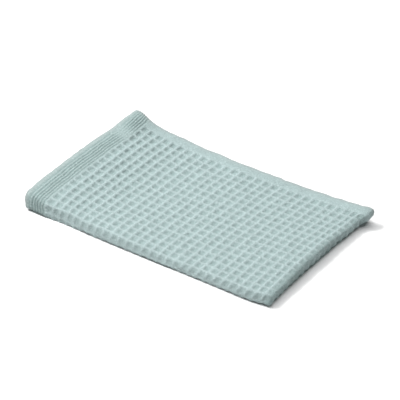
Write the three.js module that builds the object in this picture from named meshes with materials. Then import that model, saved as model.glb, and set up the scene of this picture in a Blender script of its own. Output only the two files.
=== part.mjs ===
// A guest towel of waffle weave cotton, folded across and then along, so that it lies in four layers.
// Millimetres. +X runs from the hems to the cross fold, +Y from the long fold to the selvages, +Z is up,
// and the origin is the middle of the box that the towel fills, on the surface it lies on.
import * as THREE from "three";
import { mergeVertices } from "three/addons/utils/BufferGeometryUtils.js";

// The flat cloth, as it was woven and cut.
const CLOTH_LENGTH = 500;
const CLOTH_WIDTH = 308;
const CELL = 8.05; // pitch of the waffle squares, both ways
const CELLS_LONG = 58;
const CELLS_WIDE = 36;
const HEM = (CLOTH_LENGTH - CELLS_LONG * CELL) / 2; // a ribbed band, woven at each end
const SELVAGE = (CLOTH_WIDTH - CELLS_WIDE * CELL) / 2; // a plain strip along each side
const HEM_EDGE = 2.4; // the turned edge of a hem, outside its ribs
const RIBS = 6;
const RIB = (HEM - HEM_EDGE) / RIBS;
const THICK = 1.7; // over the ridges of the waffle
const RIB_GROOVE = 0.45; // how deep the cloth's outer face drops between two ribs
const SELVAGE_STEP = 0.35; // how far the outer face lies lower on a selvage

// The folds. Along the length the cloth is an outer half, from the first hem to the cross fold, and an
// inner half, back from there to the second hem. Each half is then bent round the long fold.
const CROSS_FOLD = CLOTH_LENGTH / 2 + 0.9;
const LONG_FOLD = 155.6; // the lower half of the width is a little the narrower
const OUTER_NOSE = 6.4; // how far the outer half's long fold stands out past its flat layers
const INNER_NOSE = 2.6;

// How high the towel stands on its underside: a low middle, and swells where the cloth springs up.
// x is from the hems, v from the upper selvage, reach is along x and along v, all in mm.
const MIDDLE = 7.9;
const SWELLS = [
  { place: "hem end", x: 0, v: 40, reachX: 49, reachV: 143, lift: 12.2 },
  { place: "cross fold", x: 300, v: 82, reachX: 82, reachV: 79, lift: 7.2 },
  { place: "selvage side", x: 73, v: 10, reachX: 98, reachV: 44, lift: 3.3 },
  { place: "long fold side", x: 89, v: 136, reachX: 35, reachV: 24, lift: 1.8 },
  { place: "selvage's curl", x: 110, v: 0, reachX: 110, reachV: 8, lift: 3.0 },
  { place: "corner at the cross fold", x: 255, v: 0, reachX: 45, reachV: 14, lift: 4.3 },
  { place: "lifted hem corner", x: 3, v: 8, reachX: 17, reachV: 28, lift: 6.0 },
  { place: "dip beside it", x: 4, v: 29, reachX: 18, reachV: 10, lift: -1.9 },
];
// Where the middle of each hidden layer lies between the bottom layer, 0, and the top layer, 1.
const LAYER_HEIGHT = { third: 1 / 3, second: 2 / 3 };
const LAYER_HEIGHT_AT_CROSS_FOLD = { third: 0.25, second: 0.5 };
const CROSS_FOLD_REACH = 30; // how far from the cross fold its own spacing of the layers is felt

// How the folded towel strays from a true rectangle on its plan, in mm.
const SKEW = { selvages: 7.2, longFold: 3.3 }; // the end with the cross fold lies over towards the selvages
const SKEW_FROM = 100;
const SKEW_TO = 260;
const BOW = 2.0; // the middle of the width lies back from its sides
const LOWER_PAIR_BACK = { selvages: 7.0, longFold: 2.8 }; // the lower layers' cross fold lies under the upper's
const DRIFTS = [
  { place: "climb to the hems, drawn in", x: 20, v: 78, reachX: 34, reachV: 400, dx: 2.6, dy: 0 },
  { place: "lifted hem corner, spread out", x: 0, v: 0, reachX: 18, reachV: 46, dx: 5.0, dy: 6.5 },
  { place: "long fold's end at the hems, drawn in", x: 0, v: 156, reachX: 14, reachV: 32, dx: 0, dy: 3.0 },
  { place: "long fold's end at the cross fold", x: 251, v: 156, reachX: 12, reachV: 25, dx: 0, dy: 3.0 },
];

// Where the cloth is divided: each row ends a zone, at a distance from the first hem or the first selvage.
const LENGTH_ZONES = [
  { zone: "turned edge", end: HEM_EDGE, steps: 1 },
  { zone: "first ribs", end: HEM, steps: 2 * RIBS },
  { zone: "outer half, at the hem", end: 80, steps: 4 },
  { zone: "outer half", end: 200, steps: 4 },
  { zone: "outer half, at the fold", end: CROSS_FOLD - 7, steps: 3 },
  { zone: "cross fold", end: CROSS_FOLD + 7, steps: 8 },
  { zone: "inner half, at the fold", end: 300, steps: 3 },
  { zone: "inner half", end: 420, steps: 4 },
  { zone: "inner half, at the hem", end: CLOTH_LENGTH - HEM, steps: 4 },
  { zone: "last ribs", end: CLOTH_LENGTH - HEM_EDGE, steps: 2 * RIBS },
  { zone: "last turned edge", end: CLOTH_LENGTH, steps: 1 },
];
const WIDTH_ZONES = [
  { zone: "upper selvage", end: SELVAGE, steps: 2 },
  { zone: "upper half, at the lifted corner", end: 40, steps: 4 },
  { zone: "upper half", end: LONG_FOLD - 12, steps: 4 },
  { zone: "long fold", end: LONG_FOLD + 12, steps: 12 },
  { zone: "lower half", end: CLOTH_WIDTH - 40, steps: 4 },
  { zone: "lower half, at the selvage", end: CLOTH_WIDTH - SELVAGE, steps: 3 },
  { zone: "lower selvage", end: CLOTH_WIDTH, steps: 1 },
];

const SMALL = 0.01; // the step that a slope is measured over

const { lerp, clamp, smoothstep } = THREE.MathUtils;

// The lines that divide the cloth, from a table of zones.
function linesOf(zones) {
  const lines = [0];
  for (const { end, steps } of zones) {
    const start = lines.at(-1);
    for (let k = 1; k <= steps; k++) lines.push(lerp(start, end, k / steps));
  }
  return lines;
}

// How strongly a swell or a drift is felt at a place on the plan: from 1 at its middle down to 0 far off.
function felt(spot, x, v) {
  return Math.exp(-(((x - spot.x) / spot.reachX) ** 2) - ((v - spot.v) / spot.reachV) ** 2);
}

// The height of the stack over the surface it lies on, at a place on its plan.
function stackHeight(x, v) {
  return SWELLS.reduce((height, swell) => height + swell.lift * felt(swell, x, v), MIDDLE);
}

// The cloth's length that a half round takes up, where it is out deep and half as high as half.
function roundLength(out, half) {
  return Math.PI * Math.hypot(out, half) * Math.SQRT1_2;
}

// A fold seen along its crease: how far out the cloth is, and its share of the way from one layer to the other.
function foldSection(along, crease, out, half) {
  const length = roundLength(out, half);
  const turn = clamp((along - crease) / length, -0.5, 0.5) * Math.PI;
  const flat = Math.abs(along - crease) - length / 2;
  return {
    place: flat > 0 ? -flat : out * Math.cos(turn),
    share: (1 + Math.sin(turn)) / 2,
    length,
  };
}

// How far a place strays on the plan from where a true fold would put it.
function planDrift(x, v, down) {
  const across = v / LONG_FOLD;
  const skewed = smoothstep(x, SKEW_FROM, SKEW_TO);
  const bow = BOW * (1 - (2 * across - 1) ** 2);
  const back = down * skewed * lerp(LOWER_PAIR_BACK.selvages, LOWER_PAIR_BACK.longFold, across);
  const skew = skewed * lerp(SKEW.selvages, SKEW.longFold, across);
  const sum = (way) => DRIFTS.reduce((total, drift) => total + drift[way] * felt(drift, x, v), 0);
  return { x: sum("dx") - bow - back, y: sum("dy") + skew };
}

// The middle of the cloth's thickness at a flat place, u from the first hem and v from the first selvage.
function foldedPlace(u, v) {
  const x = Math.min(u, 2 * CROSS_FOLD - u);
  const upperV = Math.min(v, 2 * LONG_FOLD - v);
  const bottom = THICK / 2;
  const top = stackHeight(x, upperV) - THICK / 2;

  const nearFold = smoothstep(x, CROSS_FOLD - CROSS_FOLD_REACH, CROSS_FOLD);
  const third = lerp(LAYER_HEIGHT.third, LAYER_HEIGHT_AT_CROSS_FOLD.third, nearFold);
  const second = lerp(LAYER_HEIGHT.second, LAYER_HEIGHT_AT_CROSS_FOLD.second, nearFold);

  // Round the long fold: 0 on the upper layers, 1 on the lower ones.
  const longFold = foldSection(v, LONG_FOLD, OUTER_NOSE, (top - bottom) / 2);
  const down = longFold.share;

  // Round the cross fold: 0 on the outer half, 1 on the inner half.
  const gap = lerp(1 - second, third, down) * (top - bottom);
  const crossFold = foldSection(u, CROSS_FOLD, gap * 0.9, gap / 2);
  const inward = crossFold.share;

  const high = lerp(top, lerp(bottom, top, second), inward);
  const low = lerp(bottom, lerp(bottom, top, third), inward);
  const nose = lerp(OUTER_NOSE, INNER_NOSE, inward);
  const front = longFold.place > 0 ? (longFold.place * nose) / OUTER_NOSE : longFold.place;

  const drift = planDrift(x, upperV, down);
  return new THREE.Vector3(
    CROSS_FOLD - crossFold.length / 2 + crossFold.place + drift.x,
    drift.y - front,
    lerp(high, low, down),
  );
}

// The way the cloth's outer face looks at a flat place.
function outward(u, v) {
  const along = foldedPlace(u + SMALL, v).sub(foldedPlace(u - SMALL, v));
  const across = foldedPlace(u, v + SMALL).sub(foldedPlace(u, v - SMALL));
  return across.cross(along).normalize();
}

// How far the outer face lies below the crests: nothing on the waffle, a step on a selvage, grooves in a hem.
function groove(u, v) {
  const fromHem = Math.min(u, CLOTH_LENGTH - u);
  const fromSelvage = Math.min(v, CLOTH_WIDTH - v);
  const rib = (fromHem - HEM_EDGE) / RIB;
  const ribbed = fromHem > HEM_EDGE && fromHem < HEM;
  const inRibs = ribbed ? (RIB_GROOVE * (1 - Math.cos(2 * Math.PI * rib))) / 2 : 0;
  return inRibs + (fromSelvage < SELVAGE / 2 ? SELVAGE_STEP : 0);
}

// A thin box, divided by the zones' lines, whose corners are carried to their folded places.
function foldedCloth() {
  const lengthLines = linesOf(LENGTH_ZONES);
  const widthLines = linesOf(WIDTH_ZONES);
  const box = new THREE.BoxGeometry(1, 1, 1, lengthLines.length - 1, widthLines.length - 1, 1);
  box.deleteAttribute("normal");
  box.deleteAttribute("uv");
  const cloth = mergeVertices(box);
  const corners = cloth.getAttribute("position");
  for (let k = 0; k < corners.count; k++) {
    const u = lengthLines[Math.round((corners.getX(k) + 0.5) * (lengthLines.length - 1))];
    const v = widthLines[Math.round((0.5 - corners.getY(k)) * (widthLines.length - 1))];
    const outer = corners.getZ(k) > 0;
    const out = outer ? THICK / 2 - groove(u, v) : -THICK / 2;
    const place = foldedPlace(u, v).addScaledVector(outward(u, v), out);
    corners.setXYZ(k, place.x, place.y, place.z);
  }
  cloth.computeBoundingBox();
  const middle = cloth.boundingBox.getCenter(new THREE.Vector3());
  cloth.translate(-middle.x, -middle.y, -cloth.boundingBox.min.z);
  cloth.computeVertexNormals();
  return cloth;
}

const seafoamCotton = new THREE.MeshStandardMaterial({
  color: 0xb9cfcd,
  roughness: 0.95,
  metalness: 0,
});

const towel = new THREE.Mesh(foldedCloth(), seafoamCotton);
towel.name = "towel";

const guestTowel = new THREE.Group();
guestTowel.add(towel);

export default guestTowel;
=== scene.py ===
"""A guest towel in waffle weave cotton, folded across and then along, on a pale floor in soft light.

The cloth is one thin sheet. It is woven flat, as a grid with its relief, and carried to its folded place.
Flat places are in mm: u from the first hem, v from the first selvage. Blender lengths are in metres.
"""
import logging
import math
from dataclasses import dataclass, field
from enum import Enum

import bmesh
import bpy
import numpy as np
from mathutils import Matrix, Vector


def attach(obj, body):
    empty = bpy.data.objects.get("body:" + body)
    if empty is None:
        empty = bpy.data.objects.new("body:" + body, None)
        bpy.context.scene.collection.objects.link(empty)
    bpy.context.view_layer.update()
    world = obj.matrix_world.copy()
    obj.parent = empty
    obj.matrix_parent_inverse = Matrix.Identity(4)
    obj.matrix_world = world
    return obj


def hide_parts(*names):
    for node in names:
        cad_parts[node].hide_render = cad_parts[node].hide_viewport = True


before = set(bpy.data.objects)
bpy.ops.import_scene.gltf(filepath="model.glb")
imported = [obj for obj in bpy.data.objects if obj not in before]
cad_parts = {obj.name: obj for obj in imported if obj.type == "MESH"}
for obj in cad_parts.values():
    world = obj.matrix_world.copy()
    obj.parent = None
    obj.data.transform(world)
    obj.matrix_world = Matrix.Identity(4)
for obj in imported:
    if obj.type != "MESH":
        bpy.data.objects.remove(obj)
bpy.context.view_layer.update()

MM = 0.001
SEED = 31
SMALL = 0.01  # mm, the step that a slope of the folded cloth is measured over
NOISE_SPAN = (520, 330)  # mm along and across, a little more than the flat cloth
HALF = 0.5  # half the side of the square grid that the sheet starts from, and its first thickness
RANGE = ("From Min", "From Max", "To Min", "To Max")  # a Map Range node's sockets
Stops = tuple[tuple[float, float], ...]  # places in order, each with the value there

log = logging.getLogger("guest_towel")


def linear(hex_colour: str) -> tuple[float, float, float, float]:
    """Turn an sRGB hex colour into linear red, green, blue and alpha.

    Args:
        hex_colour: Six hex digits, with or without a leading #.

    Returns:
        The colour as a shader socket takes it.
    """
    digits = hex_colour.lstrip("#")
    parts = [int(digits[k:k + 2], 16) / 255 for k in (0, 2, 4)]
    parts = [p / 12.92 if p <= 0.04045 else ((p + 0.055) / 1.055) ** 2.4 for p in parts]
    return (*parts, 1.0)


def add_node(tree: bpy.types.NodeTree, kind: str, inputs: dict | None = None, **settings) -> bpy.types.Node:
    """Add a shader node, set what it is told, and link or set its inputs.

    Args:
        tree: The node tree that gets the node.
        kind: The node's type, such as ShaderNodeMath.
        inputs: What goes into each input, by name or number: a socket to link, or a plain value.
        settings: The node's own properties.

    Returns:
        The new node.
    """
    node = tree.nodes.new(kind)
    for name, value in settings.items():
        setattr(node, name, value)
    for key, value in (inputs or {}).items():
        if isinstance(value, bpy.types.NodeSocket):
            tree.links.new(value, node.inputs[key])
        else:
            node.inputs[key].default_value = value
    return node


def lerp(a: np.ndarray | float, b: np.ndarray | float, t: np.ndarray | float) -> np.ndarray | float:
    """Go from a to b by the share t."""
    return a + (b - a) * t


def smooth(x: np.ndarray, start: float, end: float) -> np.ndarray:
    """Rise softly from 0 at start to 1 at end; end may lie below start."""
    t = np.clip((x - start) / (end - start), 0, 1)
    return t * t * (3 - 2 * t)


def value_noise(rng: np.random.Generator, u: np.ndarray, v: np.ndarray, reach: float) -> np.ndarray:
    """Give soft seeded noise over the flat cloth.

    Args:
        rng: Where the random numbers come from.
        u: Places along the cloth, in mm.
        v: Places across it, in mm.
        reach: How far apart the noise's own values lie, in mm.

    Returns:
        Values between -1 and 1, one for each place.
    """
    grid = rng.uniform(-1, 1, [int(span / reach) + 3 for span in NOISE_SPAN])
    x, y = u / reach, v / reach
    i, j = np.floor(x).astype(int), np.floor(y).astype(int)
    s, t = smooth(x - i, 0, 1), smooth(y - j, 0, 1)
    near = lerp(grid[i, j], grid[i + 1, j], s)
    far = lerp(grid[i, j + 1], grid[i + 1, j + 1], s)
    return lerp(near, far, t)


def eased(at: np.ndarray, stops: Stops) -> np.ndarray:
    """Go softly from stop to stop.

    Args:
        at: Where the values are wanted.
        stops: The places that are known, with their values.

    Returns:
        One value for each place.
    """
    places, values = np.array(stops).T
    k = np.clip(np.searchsorted(places, at) - 1, 0, len(places) - 2)
    return lerp(values[k], values[k + 1], smooth(at, places[k], places[k + 1]))


def nose(over: float, under: float, tip: float) -> tuple[np.ndarray, np.ndarray, np.ndarray]:
    """Trace the rounded end of a fold as two quarters of superellipses, 1 deep and 2 high together.

    Args:
        over: How square it is above its tip: 2 is round, more is boxier, less is slanted.
        under: The same below its tip.
        tip: The tip's share of the way down.

    Returns:
        How far along the curve its points are, how far out they lie, and their share of the way down.
    """
    turn = np.linspace(-math.pi / 2, math.pi / 2, 361)
    power = np.where(turn < 0, over, under)
    out = np.maximum(np.cos(turn), 0) ** (2 / power)
    away = np.abs(np.sin(turn)) ** (2 / power)
    down = tip + np.where(turn < 0, -tip, 1 - tip) * away
    steps = np.hypot(np.diff(out), 2 * np.diff(down))
    return np.concatenate([[0], np.cumsum(steps)]), out, down


@dataclass(frozen=True)
class Spot:
    """A place where the folded cloth swells, strays or is pressed, strongest at its middle.

    x is from the hems, v from the upper selvage; all of it is in mm.
    """

    x: float
    v: float
    reach_x: float
    reach_v: float
    lift: float = 0.0
    dx: float = 0.0
    dy: float = 0.0

    def felt(self, x: np.ndarray, v: np.ndarray) -> np.ndarray:
        """Say how strongly the spot is felt at each place, from 1 at its middle down to 0."""
        return np.exp(-(((x - self.x) / self.reach_x) ** 2) - ((v - self.v) / self.reach_v) ** 2)


@dataclass
class Folds:
    """How the flat cloth lies folded: as its CAD solid does, with the ends of its folds finished finer."""

    length: float = 500.0
    width: float = 308.0
    thick: float = 1.7  # over its ridges, as the solid is
    cross_fold: float = 252.95  # its crease, from the first hem
    long_fold: float = 153.68  # its crease, from the first selvage
    outer_nose: float = 6.28  # how far the long fold stands out, at its outer layers
    inner_nose: float = 1.6  # and at its inner ones
    hem_nose: float = 3.0  # how much further it rounds out at the hems
    hem_nose_reach: float = 26.0
    middle: float = 7.9  # the stack's height away from its swells
    hidden: tuple[float, float] = (1 / 3, 2 / 3)  # the two inner layers' shares of the height
    parting: float = 0.09  # how far apart they lie at the cross fold
    parted: Stops = (  # the share that lies between them there, by the distance from the selvage
        (0, 0.5), (7, 0.45), (17, 0.16), (60, 0.14), (120, 0.14), (145, 0.16), (156, 0.24))
    cross_fold_reach: float = 30.0  # over which they come to lie so
    skew: tuple[float, float] = (7.2, 3.3)  # how far the selvage and the long fold stray towards +Y
    skew_span: tuple[float, float] = (100.0, 260.0)  # from the hems, over which they do
    bow: float = 2.0  # how far the columns of squares bow towards the hems
    upper_in: Stops = (  # how far the upper layers draw in at the cross fold, placed as in parted
        (0, 2.9), (7, 2.4), (17, 6.0), (40, 4.9), (80, 3.1), (120, 2.3), (145, 2.0), (156, 1.6))
    upper_reach: float = 24.0  # from the cross fold, over which they do
    lower_in: Stops = (  # the same for the lower layers, over skew_span
        (0, 7.9), (7, 8.3), (17, 11.0), (40, 9.1), (80, 7.6), (120, 7.1), (145, 5.9), (156, 5.4))
    cross_out: float = 0.47  # how deep the cross fold is, for the gap that it spans
    cross_nose: tuple[float, float, float] = (2.2, 3.5, 0.45)  # over, under and tip of its nose
    long_nose: tuple[float, float, float] = (2.0, 5.5, 0.96)
    to_origin: tuple[float, float, float] = (-124.92, -70.13, 0.0)  # moves it to the frame's origin
    uneven: float = 0.3  # how much the stack's height wanders
    uneven_reach: float = 19.0
    uneven_start: float = 9.0  # keeps what strays past the cloth's edges inside the noise
    swells: tuple[Spot, ...] = (
        Spot(0, 40, 49, 143, lift=12.2),  # hem end
        Spot(300, 82, 82, 79, lift=7.2),  # cross fold
        Spot(73, 10, 98, 44, lift=3.3),  # selvage side
        Spot(89, 136, 35, 24, lift=1.8),  # long fold side
        Spot(110, 0, 110, 8, lift=3.0),  # selvage's curl
        Spot(255, 0, 45, 14, lift=4.3),  # corner at the cross fold
        Spot(3, 8, 17, 28, lift=6.0),  # lifted hem corner
        Spot(4, 29, 18, 10, lift=-1.9),  # dip beside it
        Spot(249, 2, 12, 12, lift=0.6),  # tip of the corner
        Spot(-4, 160, 26, 20, lift=-1.6),  # rounded corner at the hems
    )
    drifts: tuple[Spot, ...] = (
        Spot(20, 78, 34, 400, dx=2.6),  # climb to the hems, drawn in
        Spot(0, 0, 18, 46, dx=5.0, dy=6.5),  # lifted hem corner, spread out
        Spot(0, 156, 14, 32, dx=-0.4, dy=1.6),  # long fold's end at the hems
        Spot(22, 158, 30, 11, dy=2.4),  # beside it
        Spot(251, 156, 12, 25, dy=2.6),  # long fold's end at the cross fold
        Spot(150, 158, 95, 10, dy=2.4),  # long fold, pulled taut
        Spot(240, 60, 30, 50, dx=-0.9),  # beside the cross fold
    )
    curl: Spot = Spot(0, 154, 16, 14, lift=0.9)  # the long fold's end at the hems, off the floor
    tuck: Spot = Spot(0, 154, 22, 26, dx=3.6)  # its lower half, drawn in

    def height(self, x: np.ndarray, v: np.ndarray) -> np.ndarray:
        """Give the stack's height over the floor at places on its plan.

        Args:
            x: Places from the hems, in mm.
            v: Places from the upper selvage, in mm.

        Returns:
            The heights, in mm.
        """
        rng = np.random.default_rng(SEED)
        wander = self.uneven * value_noise(rng, x + self.uneven_start, v + self.uneven_start,
                                           self.uneven_reach)
        return self.middle + wander + sum(s.lift * s.felt(x, v) for s in self.swells)

    def section(self, along: np.ndarray, crease: float, out: np.ndarray, half: np.ndarray,
                shape: tuple[float, float, float]) -> tuple[np.ndarray, np.ndarray, np.ndarray]:
        """Cut through a fold across its crease.

        Args:
            along: Places on the cloth, in mm.
            crease: Where the crease is.
            out: How far the fold stands out past its flat layers.
            half: Half the height between the layers that it joins.
            shape: Over, under and tip of its nose.

        Returns:
            How far out each place is, its share of the way to the far layer, and how long the fold's own
            cloth is.
        """
        run, nose_out, nose_down = nose(*shape)
        length = run[-1] * np.hypot(out, half) * math.sqrt(0.5)
        at = np.clip((along - crease) / length + 0.5, 0, 1) * run[-1]
        flat = np.abs(along - crease) - length / 2
        reach = np.where(flat > 0, -flat, out * np.interp(at, run, nose_out))
        return reach, np.interp(at, run, nose_down), length

    def drift(self, x: np.ndarray, v: np.ndarray, down: np.ndarray) -> tuple[np.ndarray, np.ndarray]:
        """Say how far each place strays on the plan.

        Args:
            x: Places from the hems, in mm.
            v: Places from the upper selvage, in mm.
            down: Their share of the way down the long fold, 0 on the upper layers and 1 on the lower ones.

        Returns:
            How far they stray along x and along y, in mm.
        """
        across = v / self.long_fold
        skewed = smooth(x, *self.skew_span)
        near = smooth(x, self.cross_fold - self.upper_reach, self.cross_fold)
        back = lerp(near * eased(v, self.upper_in), skewed * eased(v, self.lower_in), down)
        bow = self.bow * (1 - (2 * across - 1) ** 2)
        along = sum(s.dx * s.felt(x, v) for s in self.drifts) - bow - back
        along = along + down ** 2 * self.tuck.dx * self.tuck.felt(x, v)
        return along, sum(s.dy * s.felt(x, v) for s in self.drifts) + skewed * lerp(*self.skew, across)

    def place(self, u: np.ndarray, v: np.ndarray) -> np.ndarray:
        """Carry flat places to the middle of the folded cloth's thickness.

        Args:
            u: Places along the cloth, in mm.
            v: Places across it, in mm.

        Returns:
            One row of x, y and z for each place, in mm.
        """
        x = np.minimum(u, 2 * self.cross_fold - u)
        upper_v = np.minimum(v, 2 * self.long_fold - v)
        bottom = self.thick / 2 + self.curl.lift * self.curl.felt(x, upper_v)
        top = self.height(x, upper_v) - self.thick / 2
        near = smooth(x, self.cross_fold - self.cross_fold_reach, self.cross_fold)
        share = eased(upper_v, self.parted)
        third = lerp(self.hidden[0], share - self.parting / 2, near)
        second = lerp(self.hidden[1], share + self.parting / 2, near)
        half = (top - bottom) / 2
        outer = self.outer_nose + self.hem_nose * np.exp(-((x / self.hem_nose_reach) ** 2))
        out, down, _ = self.section(v, self.long_fold, outer, half, self.long_nose)
        gap = lerp(1 - second, third, down) * (top - bottom)
        reach, inward, rounded = self.section(u, self.cross_fold, gap * self.cross_out, gap / 2,
                                              self.cross_nose)
        high = lerp(top, lerp(bottom, top, second), inward)
        low = lerp(bottom, lerp(bottom, top, third), inward)
        front = np.where(out > 0, out * lerp(1, self.inner_nose / outer, inward), out)
        dx, dy = self.drift(x, upper_v, down)
        return np.stack([self.cross_fold - rounded / 2 + reach + dx, dy - front, lerp(high, low, down)], -1)

    def outward(self, u: np.ndarray, v: np.ndarray) -> np.ndarray:
        """Give the way that the cloth's outer face looks.

        Args:
            u: Places along the cloth, in mm.
            v: Places across it, in mm.

        Returns:
            One unit row for each place.
        """
        along = self.place(u + SMALL, v) - self.place(u - SMALL, v)
        across = self.place(u, v + SMALL) - self.place(u, v - SMALL)
        way = np.cross(across, along)
        return way / np.linalg.norm(way, axis=-1, keepdims=True)


class Thread(Enum):
    """The two ways that a ridge of the waffle runs."""

    ACROSS = "across"
    ALONG = "along"


@dataclass
class WaffleWeave:
    """The relief woven into the cloth: waffle squares, ribbed hems and plain selvages, in mm."""

    cell: float = 8.05
    cells_long: int = 58
    cells_wide: int = 36
    shift: tuple[float, float] = (1.1, 0.1)  # how far the squares lie off the cloth's middle
    crest: float = 0.85  # outer face over the middle of the thickness
    depth: float = 1.4
    ridge: dict[Thread, tuple[float, float]] = field(  # half a ridge's width, on its top and at its foot
        default_factory=lambda: {Thread.ACROSS: (0.9, 1.75), Thread.ALONG: (0.45, 1.5)})
    pit_slope: float = 0.25  # share of the depth that lies inside the foot of the walls
    square_depth: tuple[float, float] = (0.85, 1.1)  # least and most of a square's share of the depth
    drawn: tuple[int, int] = (80, 60)  # squares whose share is drawn, more than the cloth has
    drawn_before: int = 4  # how many of them lie before the first square
    depth_shade: float = 0.1  # how far a square's painted pit shade follows its depth: deeper squares are darker
    uneven: float = 0.12  # how far the outer face lies lower here and there
    uneven_reach: float = 5.0
    long_press: float = 0.6  # how much of the relief the folds' tension takes out
    long_press_reach: float = 9.0
    cross_press: float = 0.1
    turn_reach: float = 6.0  # how far from the cross fold's crease the cloth turns
    crumple: float = 0.3  # small creases over the cross fold
    crumple_reach: float = 1.9
    crumple_stretch: float = 0.4  # their width for their length
    cross_sink: float = 0.75  # how much of a ridge that turns over the cross fold sinks into it
    # Painted shade on the cross fold's facet: its ridges take the darker pit colour there, mottled, for the
    # shade under the fold
    cross_fold_shade: tuple[float, float] = (0.2, 0.95)  # how much painted shade lies on the cross fold's facet, at its back and front
    fold_shade_span: tuple[float, float] = (50.0, 120.0)  # from the selvage, where the one gives way to the other
    fold_shade_reach: float = 6.8
    fold_shade_mottle: float = 0.55
    mottle_reach: float = 1.7
    long_shut: float = 0.6  # how far the painted pit shade is taken out past the long fold, where it presses the weave shut, so that its pits are as light as its ridges
    shut_middle: float = 3.0  # past the long fold's crease
    shut_reach: float = 7.0
    corner_press: float = 0.35  # how much shallower the squares are beside the lifted corner
    corner: Spot = Spot(24, 14, 9, 9)
    hidden_press: float = 0.65  # how much flatter the relief is where other layers press on it
    inner_from: tuple[float, float] = (3.0, 10.0)  # past the cross fold, where the inner layers begin
    under_from: tuple[float, float] = (8.0, 16.0)  # past the long fold, where the lower layers begin
    tight_crest: float = 0.28  # outer face of the inner layers, where the folds squeeze them
    tight_reach: float = 9.0  # from the long fold's crease
    tight_until: tuple[float, float] = (45.0, 22.0)  # from the cross fold's, where it ends and is whole
    wobble: float = 0.4  # how far the rows of squares stray from straight
    wobble_reach: float = 13.0
    jitter: float = 0.16  # the same within each square
    jitter_reach: float = 3.7
    ridge_wander: float = 0.3  # what the rows stray besides, across the cloth
    ridge_wander_reach: float = 5.0
    sheet: float = 0.55  # thickness of the cloth itself
    rib_first: float = 4.8  # the first groove's middle, from the hem's rim
    rib_pitch: float = 2.34
    ribs: int = 6
    rib_depth: float = 0.75
    rib_margin: float = 0.6  # how far the grooves reach past the first and last one's middle, in ribs
    rib_dip: tuple[float, float, float] = (29.0, 7.0, 0.75)  # where they fade, its reach and its share
    rib_first_share: float = 0.8  # how deep the first groove is
    rib_deepest: float = 2.0  # the groove that keeps its whole depth, counted from 0
    rib_loss: float = 0.3  # how much of its depth the last one loses
    groove_power: float = 1.8  # the higher, the narrower the grooves are
    rib_wander: float = 0.3
    rib_wander_reach: float = 4.0
    rib_wander_fade: float = 4.0  # inside the hem's end
    rib_bend: float = 2.0  # how far the ribs bend out at their ends
    bend_reach: tuple[float, float] = (9.0, 11.0)  # from the selvage and from the long fold
    bend_at_fold: float = 0.8  # share of it at the long fold
    bend_start: tuple[float, float] = (0.0, 7.0)  # from the hem's rim, where it begins and is whole
    bend_stop: tuple[float, float] = (24.0, 12.0)  # where it ends and is still whole
    hem_end: float = 18.0
    hem_edge: tuple[float, float] = (0.6, -0.4)  # from its end, where the hem begins and is whole
    hem_crest: float = 0.72
    hem_thick: float = 1.3
    hem_spread: float = 2.4  # how far the hem's rim strays outwards
    spread_reach: float = 8.0
    drawn_in: float = 0.8  # how far the first column of squares strays inwards
    drawn_in_at: float = 22.0  # from the hem's rim
    selvage: float = 9.1
    selvage_edge: tuple[float, float] = (0.9, -0.7)  # as the hem's
    selvage_level: float = 0.65
    selvage_thick: float = 0.8
    selvage_uneven: float = 0.3  # share of the unevenness that it has
    selvage_tone: float = 0.6  # from a pit's, 0, to a ridge's, 1
    selvage_wave: float = 0.4
    selvage_wave_length: float = 7.0
    selvage_wave_reach: float = 5.0
    edge_round: float = 0.6
    edge_thick: float = 0.25  # share of the thickness that is left at the rim
    grey_rim: tuple[float, float] = (0.9, 0.2)  # from the rim, where its own greyer tone begins and is whole
    rim_shade: tuple[float, float] = (5.0, 0.5)  # painted shade: the same tone, at its fainter share and wider, darkening the rims where they catch the light
    rim_shade_share: float = 0.42

    def cell_lines(self, thread: Thread, first: int, last: int, start: float,
                   spots: tuple[float, ...]) -> list[float]:
        """Place lines in a run of cells.

        Args:
            thread: The ridges that the lines run with.
            first: The first cell's number.
            last: The number of the cell after the last.
            start: Where cell 0 begins, in mm.
            spots: Distances of the lines from each cell's start.

        Returns:
            The lines' places, in mm.
        """
        at = start + self.shift[0 if thread is Thread.ACROSS else 1]
        return [at + k * self.cell + s for k in range(first, last) for s in spots]

    def rib_lines(self, spots: tuple[float, ...]) -> list[float]:
        """Place lines at these spots of each rib, in ribs from its groove's middle."""
        return [self.rib_first + self.rib_pitch * (k + s) for k in range(self.ribs) for s in spots]

    def ridge_height(self, thread: Thread, from_ridge: np.ndarray) -> np.ndarray:
        """Give the height of the ridges.

        Args:
            thread: The ridges that are meant.
            from_ridge: Distances from the nearest one's middle, in mm.

        Returns:
            The heights as shares, 1 on a crest and 0 in the middle of a pit.
        """
        top, foot = self.ridge[thread]
        away = np.abs(from_ridge)
        return lerp(smooth(away, foot, top), smooth(away, self.cell / 2, 0), self.pit_slope)

    def grooves(self, from_hem: np.ndarray, v: np.ndarray) -> np.ndarray:
        """Give the hems' grooves between their ribs.

        Args:
            from_hem: Distances from the nearer hem's rim, in mm.
            v: Places across the cloth, in mm.

        Returns:
            The grooves' depth as a share, 0 where there are none.
        """
        turn = (from_hem - self.rib_first) / self.rib_pitch
        ribbed = (turn > -self.rib_margin) & (turn < self.ribs - 1 + self.rib_margin)
        at, reach, share = self.rib_dip
        fade = 1 - share * np.exp(-(((v - at) / reach) ** 2))
        fade = fade * lerp(self.rib_first_share, 1, smooth(turn, 0, 1))
        from_deepest = (turn - self.rib_deepest) / (self.ribs - 1 - self.rib_deepest)
        fade = fade * (1 - self.rib_loss * from_deepest ** 2)
        return np.where(ribbed, (1 + np.cos(2 * math.pi * turn)) / 2, 0) ** self.groove_power * fade


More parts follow.
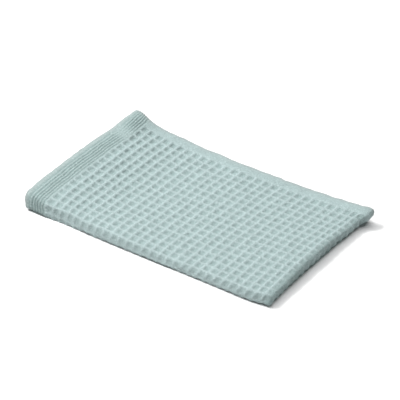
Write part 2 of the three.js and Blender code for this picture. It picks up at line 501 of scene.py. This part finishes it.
@dataclass(frozen=True)
class SheetLines:
    """Where the sheet's mesh has its lines: close together on what shows, wider apart on what is hidden."""

    rim: tuple[float, ...] = (0, 0.12, 0.45, 1.1, 2.6)  # from a hem's rim, in mm
    rib: tuple[float, ...] = (-0.2, 0, 0.2, 0.5)  # in ribs
    hidden_rib: tuple[float, ...] = (0, 0.5)
    column: tuple[float, ...] = (0, 0.95, 1.75, 4.025, 6.3, 7.1)  # from a column's start, in mm
    hidden_column: tuple[float, ...] = (0, 4.025)
    columns_shown: int = 30
    from_hem_end: float = 0.4  # the least from the hem's end to the first of these lines
    selvage: tuple[float, ...] = (0, 0.12, 0.45, 1.1, 4.0, 7.0)  # from a selvage's rim, in mm
    row: tuple[float, ...] = (0, 0.45, 1.5, 4.025, 6.55, 7.6)  # from a row's start, in mm
    hidden_row: tuple[float, ...] = (0, 1.6, 6.45)
    rows_shown: int = 19


@dataclass(frozen=True)
class WaffleCotton:
    """Soft cotton yarn in a loose waffle weave, piece dyed pale seafoam.

    To the eye it is quite matt, with bright ridges, greyer pits and small light flecks of yarn; the darker
    colour of its pits, hem grooves and cross fold is painted shade, and so is part of its rims' grey.
    """

    slot: str = "waffle_cotton"
    ridge: str = "#A0B1B1"
    # painted shade: the pits' colour is darker than the ridges', for the shade that falls in them
    pit: str = "#8A9C9B"
    hem: str = "#97A8A7"
    # painted shade: darker than the hem, for the shade in its grooves
    groove: str = "#6E8280"
    # the rims' own grey, which also carries painted shade over their outer few mm
    rim_grey_and_shade: str = "#939796"
    fleck: str = "#BCCAC8"
    yarn_mm: float = 1.0  # real yarns lie 0.45 mm apart; drawn coarser, so that they show
    grain: tuple[float, float] = (0.5, 1.15)  # its scale along a yarn and across it
    yarn_span: tuple[float, float] = (0.7, 1.3)  # of the two grains' sum, for these tones
    yarn_tones: tuple[float, float] = (0.81, 1.17)
    fleck_span: tuple[float, float] = (1.2, 1.4)  # of the same sum, where a fleck begins and is whole
    cloud: float = 0.12  # clouds for each yarn, so that one is about 8 mm wide
    cloud_span: tuple[float, float] = (0.3, 0.7)
    cloud_tones: tuple[float, float] = (0.94, 1.06)
    bump_mm: float = 0.35
    roughness: float = 0.92
    specular: float = 0.25
    sheen: float = 0.12
    sheen_roughness: float = 0.5

    def material(self) -> bpy.types.Material:
        """Make the cotton from the cloth's own flat places and relief.

        Returns:
            The material.
        """
        made = bpy.data.materials.new("waffle_weave_cotton")
        made.use_nodes = True
        tree = made.node_tree
        tree.nodes.clear()
        out = add_node(tree, "ShaderNodeOutputMaterial")
        flat = add_node(tree, "ShaderNodeAttribute", attribute_name="flat_mm").outputs["Vector"]
        relief = add_node(tree, "ShaderNodeAttribute", attribute_name="relief").outputs["Fac"]
        hemmed = add_node(tree, "ShaderNodeAttribute", attribute_name="hemmed").outputs["Fac"]
        edged = add_node(tree, "ShaderNodeAttribute", attribute_name="edged").outputs["Fac"]
        # Painted shade: by the relief share, the pits take a darker colour than the ridges
        waffle = add_node(tree, "ShaderNodeMix", {0: relief, 6: linear(self.pit), 7: linear(self.ridge)},
                          data_type="RGBA")
        # Painted shade: the hems' grooves take a darker colour than their ribs
        ribbed = add_node(tree, "ShaderNodeMix", {0: relief, 6: linear(self.groove), 7: linear(self.hem)},
                          data_type="RGBA")
        cloth = add_node(tree, "ShaderNodeMix", {0: hemmed, 6: waffle.outputs[2], 7: ribbed.outputs[2]},
                         data_type="RGBA")
        yarn = add_node(tree, "ShaderNodeVectorMath", {0: flat, 1: (1 / self.yarn_mm,) * 3},
                        operation="MULTIPLY").outputs[0]
        lengthwise = add_node(tree, "ShaderNodeVectorMath", {0: yarn, 1: (*self.grain, 1.0)},
                              operation="MULTIPLY")
        crosswise = add_node(tree, "ShaderNodeVectorMath", {0: yarn, 1: (*self.grain[::-1], 1.0)},
                             operation="MULTIPLY")
        warp = add_node(tree, "ShaderNodeTexNoise", {"Vector": lengthwise.outputs[0], "Scale": 1.0,
                                                     "Detail": 1.0})
        weft = add_node(tree, "ShaderNodeTexNoise", {"Vector": crosswise.outputs[0], "Scale": 1.0,
                                                     "Detail": 1.0})
        threads = add_node(tree, "ShaderNodeMath", {0: warp.outputs["Fac"], 1: weft.outputs["Fac"]},
                           operation="ADD")
        cloud = add_node(tree, "ShaderNodeTexNoise", {"Vector": yarn, "Scale": self.cloud, "Detail": 2.0})
        tone = add_node(tree, "ShaderNodeMapRange", {
            "Value": cloud.outputs["Fac"], **dict(zip(RANGE, (*self.cloud_span, *self.cloud_tones)))})
        speck = add_node(tree, "ShaderNodeMapRange", {
            "Value": threads.outputs[0], **dict(zip(RANGE, (*self.yarn_span, *self.yarn_tones)))})
        shade = add_node(tree, "ShaderNodeMath", {0: tone.outputs[0], 1: speck.outputs[0]},
                         operation="MULTIPLY")
        mottled = add_node(tree, "ShaderNodeVectorMath", {0: cloth.outputs[2], 3: shade.outputs[0]},
                           operation="SCALE")
        bright = add_node(tree, "ShaderNodeMapRange", {
            "Value": threads.outputs[0], **dict(zip(RANGE, self.fleck_span))})
        on_ridge = add_node(tree, "ShaderNodeMath", {0: bright.outputs[0], 1: relief}, operation="MULTIPLY")
        flecked = add_node(tree, "ShaderNodeMix", {0: on_ridge.outputs[0], 6: mottled.outputs[0],
                                                   7: linear(self.fleck)}, data_type="RGBA")
        # The rims' own grey, with painted shade over their outer few mm
        rimmed = add_node(tree, "ShaderNodeMix", {0: edged, 6: flecked.outputs[2], 7: linear(self.rim_grey_and_shade)},
                          data_type="RGBA")
        bump = add_node(tree, "ShaderNodeBump", {"Height": threads.outputs[0],
                                                 "Distance": self.bump_mm * MM, "Strength": 1.0})
        skin = add_node(tree, "ShaderNodeBsdfPrincipled", {
            "Base Color": rimmed.outputs[2], "Roughness": self.roughness, "Normal": bump.outputs[0],
            "Sheen Weight": self.sheen, "Sheen Roughness": self.sheen_roughness,
            "Specular IOR Level": self.specular})
        tree.links.new(skin.outputs[0], out.inputs[0])
        return made


@dataclass
class GuestTowel:
    """The folded towel, one sheet of cloth."""

    name: str = "towel_cloth"
    folds: Folds = field(default_factory=Folds)
    weave: WaffleWeave = field(default_factory=WaffleWeave)
    lines: SheetLines = field(default_factory=SheetLines)
    cotton: WaffleCotton = field(default_factory=WaffleCotton)
    reverse_at: float = 40.0  # mm, gives the reverse a grain of its own
    reverse_tone: float = 0.8  # from a pit's, 0, to a ridge's, 1

    def length_lines(self) -> np.ndarray:
        """Place the mesh's lines along the cloth.

        Returns:
            Their places from the first hem, in mm.
        """
        w, f, at = self.weave, self.folds, self.lines
        start = (f.length - w.cells_long * w.cell) / 2
        fine = w.cell_lines(Thread.ACROSS, 0, at.columns_shown, start, at.column)
        coarse = w.cell_lines(Thread.ACROSS, at.columns_shown, w.cells_long - 1, start, at.hidden_column)
        fine = [x for x in fine if x > w.hem_end + at.from_hem_end]
        last = [f.length - x for x in (*at.rim, *w.rib_lines(at.hidden_rib))[::-1]]
        return np.array([*at.rim, *w.rib_lines(at.rib), *fine, *coarse, *last])

    def width_lines(self) -> np.ndarray:
        """Place the mesh's lines across the cloth.

        Returns:
            Their places from the first selvage, in mm.
        """
        w, at = self.weave, self.lines
        fine = w.cell_lines(Thread.ALONG, 0, at.rows_shown, w.selvage, at.row)
        coarse = w.cell_lines(Thread.ALONG, at.rows_shown, w.cells_wide, w.selvage, at.hidden_row)
        last = [self.folds.width - x for x in at.selvage[::-1]]
        return np.array([*at.selvage, *fine, *coarse, *last])

    def relief(self, u: np.ndarray, v: np.ndarray) -> dict[str, np.ndarray]:
        """Work out the woven relief at flat places.

        Args:
            u: Places along the cloth, in mm.
            v: Places across it, in mm.

        Returns:
            The outer and the reverse face's distance from the middle in mm, and the material's shares,
            which carry its painted shade.
        """
        w, f = self.weave, self.folds
        rng = np.random.default_rng(SEED)
        start = (f.length - w.cells_long * w.cell) / 2
        in_u, in_v = (u - start - w.shift[0]) / w.cell, (v - w.selvage - w.shift[1]) / w.cell
        from_across = (in_u - np.round(in_u)) * w.cell
        from_along = (in_v - np.round(in_v)) * w.cell
        across = w.ridge_height(Thread.ACROSS, from_across)
        along = w.ridge_height(Thread.ALONG, from_along)
        turned = np.exp(-(((u - f.cross_fold) / w.turn_reach) ** 4))
        crown = 1 - (1 - across * (1 - w.cross_sink * turned)) * (1 - along)
        depth = rng.uniform(*w.square_depth, w.drawn)
        depth = depth[tuple(np.floor(x).astype(int) + w.drawn_before for x in (in_u, in_v))]
        depth = depth * (1 - w.corner_press * w.corner.felt(u, v))
        inner = smooth(u, *(f.cross_fold + at for at in w.inner_from))
        under = smooth(v, *(f.long_fold + at for at in w.under_from))
        depth = depth * (1 - w.hidden_press * np.maximum(inner, under))
        uneven = w.uneven * (1 + value_noise(rng, u, v, w.uneven_reach)) / 2
        from_hem = np.minimum(u, f.length - u)
        from_selvage = np.minimum(v, f.width - v)
        hemmed = smooth(from_hem, *(w.hem_end + at for at in w.hem_edge))
        plain = smooth(from_selvage, *(w.selvage + at for at in w.selvage_edge)) * (1 - hemmed)
        groove = w.grooves(from_hem, v)
        pressed = 1 - w.long_press * np.exp(-(((v - f.long_fold) / w.long_press_reach) ** 2))
        pressed = pressed * (1 - w.cross_press * turned)
        outer = w.crest - w.depth * depth * pressed * (1 - crown) - uneven
        outer = outer + w.crumple * turned * value_noise(rng, w.crumple_stretch * u, v, w.crumple_reach)
        bent = np.exp(-(((v - f.long_fold) / w.tight_reach) ** 4))
        tight = inner * np.maximum(bent, smooth(u, *(f.cross_fold + at for at in w.tight_until)))
        outer = lerp(outer, w.tight_crest, tight)
        outer = lerp(outer, w.hem_crest - w.rib_depth * groove, hemmed)
        outer = lerp(outer, w.selvage_level - w.selvage_uneven * uneven, plain)
        thick = lerp(lerp(w.sheet, w.hem_thick - w.rib_depth * groove, hemmed), w.selvage_thick, plain)
        rim = np.minimum(from_hem, from_selvage)
        bulge = np.sqrt(1 - (1 - np.clip(rim / w.edge_round, 0, 1)) ** 2)
        bulge = w.edge_thick + (1 - w.edge_thick) * bulge
        middle = outer - thick / 2
        # Painted shade: the ridge colour's share falls down the walls, in the pits and in deeper squares,
        # so that these take the darker pit colour
        shown = crown * (1 - w.depth_shade + w.depth_shade * depth)
        # Painted shade in the hems' grooves, by how deep they are
        shown = lerp(lerp(shown, 1 - groove, hemmed), w.selvage_tone, plain)
        # Painted shade on the cross fold's facet: the ridge colour's share is taken down there and mottled,
        # for the shade under the fold
        front = smooth(np.minimum(v, 2 * f.long_fold - v), *w.fold_shade_span)
        fold_shade = lerp(*w.cross_fold_shade, front) + w.fold_shade_mottle * value_noise(rng, u, v, w.mottle_reach)
        shown = shown * (1 - np.clip(fold_shade, 0, 1) * np.exp(-(((u - f.cross_fold) / w.fold_shade_reach) ** 4)))
        # Past the long fold's crease the painted pit shade is taken out, so that the pits there are as
        # light as the ridges
        shut = w.long_shut * np.exp(-(((v - f.long_fold - w.shut_middle) / w.shut_reach) ** 2))
        shown = lerp(shown, 1, shut * (1 - hemmed) * (1 - turned))
        return {
            "outer": middle + thick / 2 * bulge,
            "reverse": middle - thick / 2 * bulge,
            "relief": shown,
            "hemmed": hemmed,
            # the rims' grey: a thin line of their own, and a wider faint part that is painted shade
            "edged": np.maximum(smooth(rim, *w.grey_rim), w.rim_shade_share * smooth(rim, *w.rim_shade)),
        }

    def build(self) -> bpy.types.Object:
        """Weave the flat sheet, give it its reverse and rims, and fold it.

        Returns:
            The towel's object.
        """
        lines_u, lines_v = self.length_lines(), self.width_lines()
        bm = bmesh.new()
        bmesh.ops.create_grid(bm, x_segments=len(lines_u) - 1, y_segments=len(lines_v) - 1, size=HALF)
        bmesh.ops.solidify(bm, geom=bm.faces[:], thickness=HALF)
        flat = np.array([v.co for v in bm.verts])
        outer = flat[:, 2] > -HALF / 2
        u, v = (lines[np.rint((flat[:, k] + HALF) * (len(lines) - 1)).astype(int)]
                for k, lines in enumerate((lines_u, lines_v)))
        woven = self.relief(u, v)
        places = self.folded(u, v, np.where(outer, woven["outer"], woven["reverse"]))
        for vert, place in zip(bm.verts, places * MM):
            vert.co = place
        bmesh.ops.recalc_face_normals(bm, faces=bm.faces[:])
        if bm.calc_volume(signed=True) < 0:  # the folds can make it choose the inside
            bmesh.ops.reverse_faces(bm, faces=bm.faces[:])
        mesh = bpy.data.meshes.new(self.name)
        bm.to_mesh(mesh)
        bm.free()
        self.note_places(mesh, u, v, outer, woven)
        mesh.polygons.foreach_set("use_smooth", [True] * len(mesh.polygons))
        towel = bpy.data.objects.new(self.name, mesh)
        bpy.context.scene.collection.objects.link(towel)
        return towel

    def folded(self, u: np.ndarray, v: np.ndarray, offset: np.ndarray) -> np.ndarray:
        """Carry places on the flat cloth to where they lie on the folded towel.

        Args:
            u: Places along the cloth, in mm.
            v: Places across it, in mm.
            offset: How far each lies outside the middle of the cloth's thickness.

        Returns:
            One row of x, y and z for each place, in mm.
        """
        strayed_u, strayed_v = self.strayed(u, v)
        places = self.folds.place(strayed_u, strayed_v) + np.array(self.folds.to_origin)
        places += self.folds.outward(strayed_u, strayed_v) * offset[:, None]
        places[:, 2] = np.maximum(places[:, 2], 0.0)
        return places

    def strayed(self, u: np.ndarray, v: np.ndarray) -> tuple[np.ndarray, np.ndarray]:
        """Let the rows and ribs wander a little, as in any washed cloth, and the hems spread.

        Args:
            u: Places along the cloth, in mm.
            v: Places across it, in mm.

        Returns:
            The places along and across it that they stray to.
        """
        rng = np.random.default_rng(SEED + 1)
        w, f = self.weave, self.folds
        along, across = (w.wobble * value_noise(rng, u, v, w.wobble_reach)
                         + w.jitter * value_noise(rng, u, v, w.jitter_reach) for _ in range(2))
        from_hem = np.minimum(u, f.length - u)
        ribbed = smooth(from_hem, w.hem_end, w.hem_end - w.rib_wander_fade)
        along = along + ribbed * w.rib_wander * value_noise(rng, u, v, w.rib_wander_reach)
        spread = w.drawn_in * np.exp(-(((from_hem - w.drawn_in_at) / w.spread_reach) ** 2))
        spread = spread - w.hem_spread * np.exp(-((from_hem / w.spread_reach) ** 2))
        ends = np.exp(-((v / w.bend_reach[0]) ** 2))
        ends = ends + w.bend_at_fold * np.exp(-(((v - f.long_fold) / w.bend_reach[1]) ** 2))
        bend = w.rib_bend * ends * smooth(from_hem, *w.bend_start) * smooth(from_hem, *w.bend_stop)
        spread = spread - bend
        across = across + w.ridge_wander * value_noise(rng, u, v, w.ridge_wander_reach)
        wave = w.selvage_wave * value_noise(rng, u, 0 * v, w.selvage_wave_length)
        across = across + wave * np.exp(-((v / w.selvage_wave_reach) ** 2))
        return u + along + np.where(u < f.cross_fold, spread, -spread), v + across

    def note_places(self, mesh: bpy.types.Mesh, u: np.ndarray, v: np.ndarray, outer: np.ndarray,
                    woven: dict[str, np.ndarray]) -> None:
        """Write the flat places and the relief's shares on the mesh, for its material.

        Args:
            mesh: The folded mesh.
            u: Each vertex's place along the cloth, in mm.
            v: Its place across.
            outer: Whether it is on the outer face.
            woven: What relief() gave.
        """
        flat = mesh.attributes.new("flat_mm", "FLOAT_VECTOR", "POINT")
        rows = np.stack([u, v, np.where(outer, 0.0, self.reverse_at)], -1).astype(np.float32)
        flat.data.foreach_set("vector", rows.ravel())
        for name in ("relief", "hemmed", "edged"):
            share = mesh.attributes.new(name, "FLOAT", "POINT")
            values = woven[name] if name != "relief" else np.where(outer, woven[name], self.reverse_tone)
            share.data.foreach_set("value", values.astype(np.float32))

    def dress(self, towel: bpy.types.Object) -> None:
        """Args:
            towel: What build() gave.
        """
        towel.data.materials.append(self.cotton.material())
        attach(towel, "root")
        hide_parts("towel")


@dataclass(frozen=True)
class StudioPaper:
    """Smooth matt white background paper, with the faintest cloudiness."""

    colour: str = "#F1F1F1"
    cloud: str = "#EDEDED"
    clouds: float = 3.0  # in each metre
    roughness: float = 0.9
    specular: float = 0.1

    def material(self) -> bpy.types.Material:
        """Make the paper.

        Returns:
            The material.
        """
        made = bpy.data.materials.new("white_background_paper")
        made.use_nodes = True
        tree = made.node_tree
        tree.nodes.clear()
        out = add_node(tree, "ShaderNodeOutputMaterial")
        place = add_node(tree, "ShaderNodeTexCoord").outputs["Object"]
        noise = add_node(tree, "ShaderNodeTexNoise", {"Vector": place, "Scale": self.clouds, "Detail": 2.0})
        tone = add_node(tree, "ShaderNodeMix", {0: noise.outputs["Fac"], 6: linear(self.cloud),
                                                7: linear(self.colour)}, data_type="RGBA")
        skin = add_node(tree, "ShaderNodeBsdfPrincipled", {
            "Base Color": tone.outputs[2], "Roughness": self.roughness,
            "Specular IOR Level": self.specular})
        tree.links.new(skin.outputs[0], out.inputs[0])
        return made


@dataclass(frozen=True)
class SoftLamp:
    """A square soft box, by its bearing from the camera's own left and right."""

    name: str
    right: float  # metres from the towel, seen from the camera
    toward: float  # metres towards the camera
    up: float
    side: float
    watts: float
    colour: str = "#FFFFFF"


@dataclass
class Studio:
    """Floor, lights and camera.

    The camera's numbers came from fitting the rows of waffle squares and the outline.
    """

    elevation: float = 33.37  # degrees that the camera looks down
    turn: float = 36.68  # degrees that the picture's right is turned from the towel's length
    distance: float = 2.118
    aim_right: float = 1.84 * MM  # the aim point, in the camera's own ways along the floor
    aim_away: float = 25.86 * MM
    half_pixel: float = 0.42 * MM  # a pixel's middle lies half a pixel in from its corner
    lens: float = 225.0
    sensor: float = 36.0
    clip: tuple[float, float] = (0.05, 50.0)
    floor_side: float = 8.0
    sky: str = "#FFFFFF"
    sky_strength: float = 0.09
    lamps: tuple[SoftLamp, ...] = (
        SoftLamp("key_soft_box", right=-0.85, toward=-0.42, up=1.25, side=0.5, watts=23.7),
        SoftLamp("overhead_soft_box", right=0.0, toward=0.0, up=1.8, side=2.4, watts=39.4),
    )

    def ways(self) -> tuple[Vector, Vector]:
        """Give the camera's right and its away, both level."""
        a = math.radians(self.turn)
        return Vector((math.cos(a), math.sin(a), 0)), Vector((-math.sin(a), math.cos(a), 0))

    def build_floor(self) -> bpy.types.Object:
        """Lay the pale floor.

        Returns:
            The floor's object.
        """
        bm = bmesh.new()
        bmesh.ops.create_grid(bm, x_segments=8, y_segments=8, size=self.floor_side / 2)
        mesh = bpy.data.meshes.new("floor")
        bm.to_mesh(mesh)
        bm.free()
        floor = bpy.data.objects.new("floor", mesh)
        bpy.context.scene.collection.objects.link(floor)
        floor.data.materials.append(StudioPaper().material())
        return floor

    def build_lights(self) -> None:
        """Hang the soft boxes and light the surroundings."""
        right, away = self.ways()
        for lamp in self.lamps:
            light = bpy.data.lights.new(lamp.name, "AREA")
            light.shape = "SQUARE"
            light.size = lamp.side
            light.energy = lamp.watts
            light.color = linear(lamp.colour)[:3]
            holder = bpy.data.objects.new(lamp.name, light)
            bpy.context.scene.collection.objects.link(holder)
            place = right * lamp.right - away * lamp.toward + Vector((0, 0, lamp.up))
            holder.visible_camera = False
            holder.location = place
            holder.rotation_euler = (-place).to_track_quat("-Z", "Y").to_euler()
        world = bpy.data.worlds.new("soft_surroundings")
        bpy.context.scene.world = world
        world.use_nodes = True
        tree = world.node_tree
        tree.nodes.clear()
        out = add_node(tree, "ShaderNodeOutputWorld")
        sky = add_node(tree, "ShaderNodeBackground", {"Color": linear(self.sky),
                                                      "Strength": self.sky_strength})
        tree.links.new(sky.outputs[0], out.inputs[0])

    def build_camera(self) -> bpy.types.Object:
        """Set up the camera where the photograph was taken from.

        Returns:
            The camera's object.
        """
        right, away = self.ways()
        e = math.radians(self.elevation)
        look = away * math.cos(e) - Vector((0, 0, math.sin(e)))
        up = away * math.sin(e) + Vector((0, 0, math.cos(e)))
        aim = right * (self.aim_right - self.half_pixel) + away * self.aim_away + up * self.half_pixel
        data = bpy.data.cameras.new("camera")
        data.lens = self.lens
        data.sensor_width = self.sensor
        data.clip_start, data.clip_end = self.clip
        camera = bpy.data.objects.new("camera", data)
        bpy.context.scene.collection.objects.link(camera)
        turned = Matrix((right, up, -look)).transposed().to_4x4()
        camera.matrix_world = Matrix.Translation(aim - look * self.distance) @ turned
        bpy.context.scene.camera = camera
        return camera


def main() -> None:
    """Build the studio and the towel."""
    logging.basicConfig(level=logging.INFO, format="%(name)s: %(message)s")
    studio = Studio()
    studio.build_camera()
    studio.build_floor()
    studio.build_lights()
    bpy.context.scene.view_settings.view_transform = "Standard"
    log.info("studio: floor, %d soft boxes and camera", len(studio.lamps))
    towel = GuestTowel()
    cloth = towel.build()
    towel.dress(cloth)
    log.info("%s: %d vertices, %d faces", cloth.name, len(cloth.data.vertices), len(cloth.data.polygons))
    bpy.context.view_layer.update()


if __name__ == "__main__":
    main()
